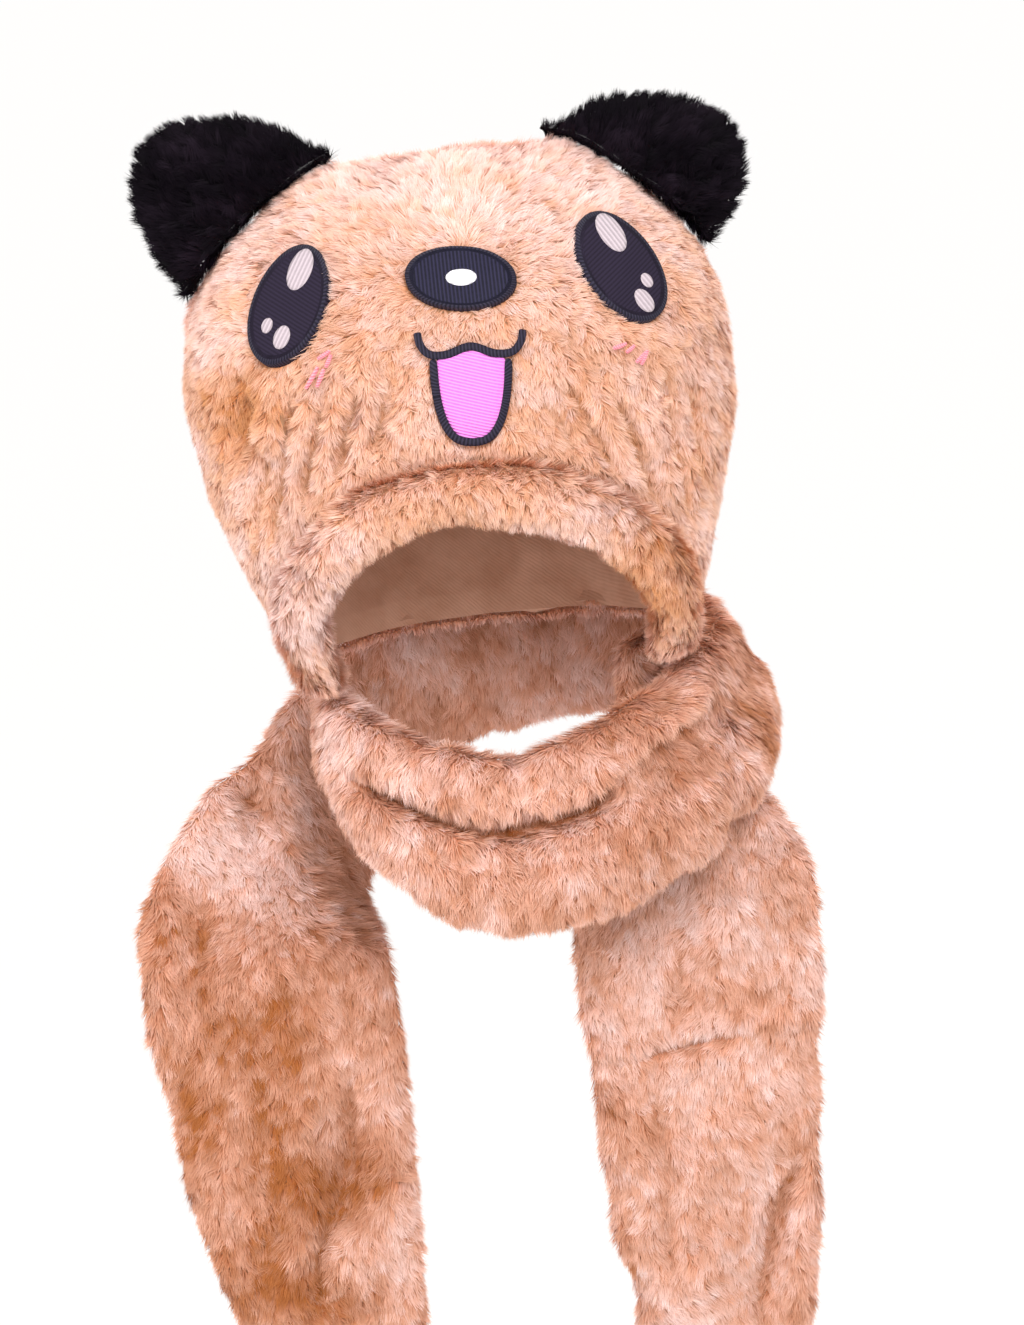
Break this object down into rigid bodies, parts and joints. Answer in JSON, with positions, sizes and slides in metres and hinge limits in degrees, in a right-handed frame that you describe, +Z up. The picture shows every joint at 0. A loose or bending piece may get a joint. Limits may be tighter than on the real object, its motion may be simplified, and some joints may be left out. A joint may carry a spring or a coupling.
{
  "type": "animal hood scarf",
  "caption": "Plush animal hood with round ears, an appliqued face and a padded rim, on a long scarf wound once round the neck.",
  "frame": {"origin": "inner top of the hood's crown, on the top seam, where the hood bears on the head", "axes": "+Z up, +X to the right as seen from the front, the face looks along -Y"},
  "size_m": [0.3667, 0.2559, 0.7096],
  "materials": {
    "plush_camel": "short plush pile, camel",
    "plush_rose": "short plush pile, rosy camel",
    "plush_scarf": "plush pile, rosy brown with lighter tips",
    "plush_black": "plush pile, black with a faint purple sheen",
    "satin_dark": "satin stitch and felt, dark navy",
    "satin_pale": "satin stitch, pale lilac",
    "satin_white": "satin stitch, white",
    "satin_pink": "fill stitch, bright pink"
  },
  "bodies": {
    "root": {"face_panel": "plush_camel", "hood_back": "plush_rose", "face_rim": "plush_camel", "ear_left": "plush_black", "ear_right": "plush_black", "eye_left": "satin_dark", "glint_left_1": "satin_pale", "glint_left_2": "satin_pale", "glint_left_3": "satin_pale", "eye_right": "satin_dark", "glint_right_1": "satin_pale", "glint_right_2": "satin_pale", "glint_right_3": "satin_pale", "nose": "satin_dark", "nose_glint": "satin_white", "mouth_line": "satin_dark", "tongue_edge": "satin_dark", "tongue": "satin_pink", "scarf_long": "plush_scarf", "scarf_long_end": "plush_scarf", "scarf_short": "plush_scarf", "scarf_short_end": "plush_scarf"}
  },
  "joints": []
}
